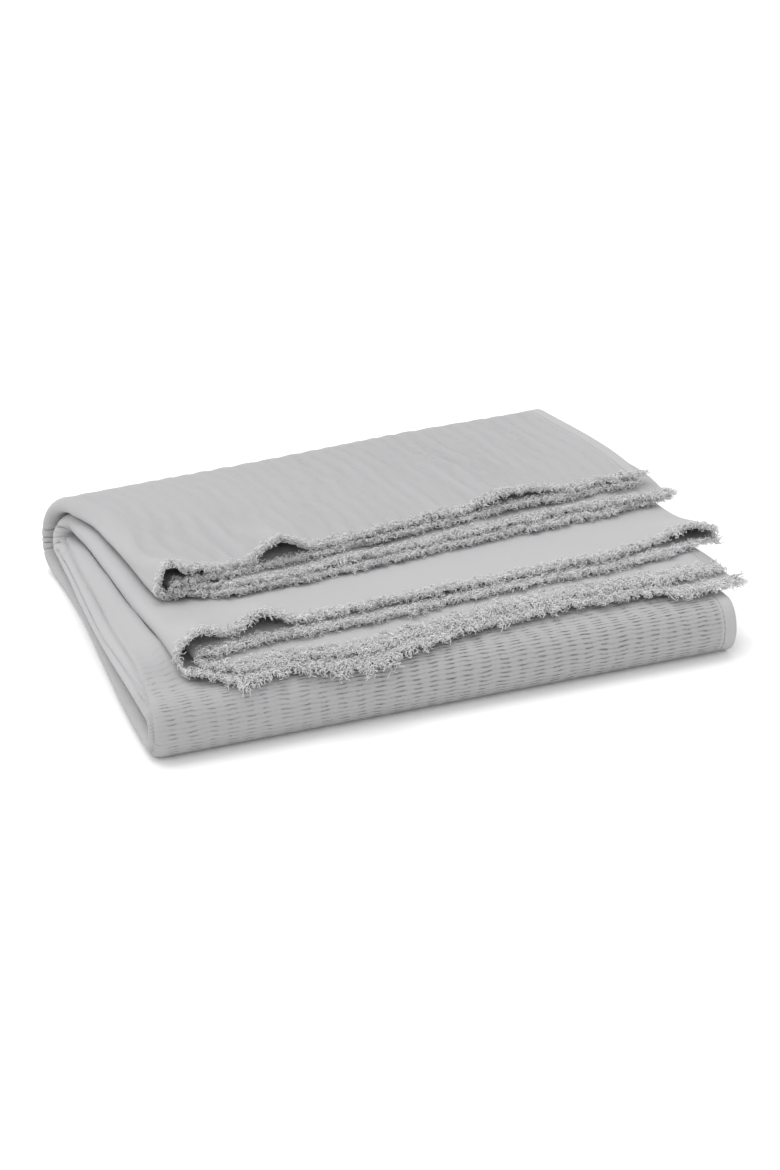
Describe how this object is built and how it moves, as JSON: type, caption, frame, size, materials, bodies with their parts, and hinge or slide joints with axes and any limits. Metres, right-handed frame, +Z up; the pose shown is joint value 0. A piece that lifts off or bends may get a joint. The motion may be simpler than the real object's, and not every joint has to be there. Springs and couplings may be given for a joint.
{
  "type": "folded throw blanket",
  "caption": "Woven cotton throw blanket folded into a flat stack, with a frayed fringe on both ends of its folded strip and a rounded front fold.",
  "frame": {"origin": "centre of the bounding box, on the flat underside that the folded throw rests on", "axes": "+X along the fringed ends, left to right; +Y from the rounded front fold to the back fold; +Z up"},
  "size_m": [0.4838, 0.3978, 0.0795],
  "materials": {
    "cloth": "light grey woven cotton with small raised dashes in rows, matte",
    "fringe": "light grey frayed cotton yarn, matte"
  },
  "bodies": {
    "root": {"cloth": "cloth", "upper_fringe": "fringe", "lower_fringe": "fringe"}
  },
  "joints": []
}
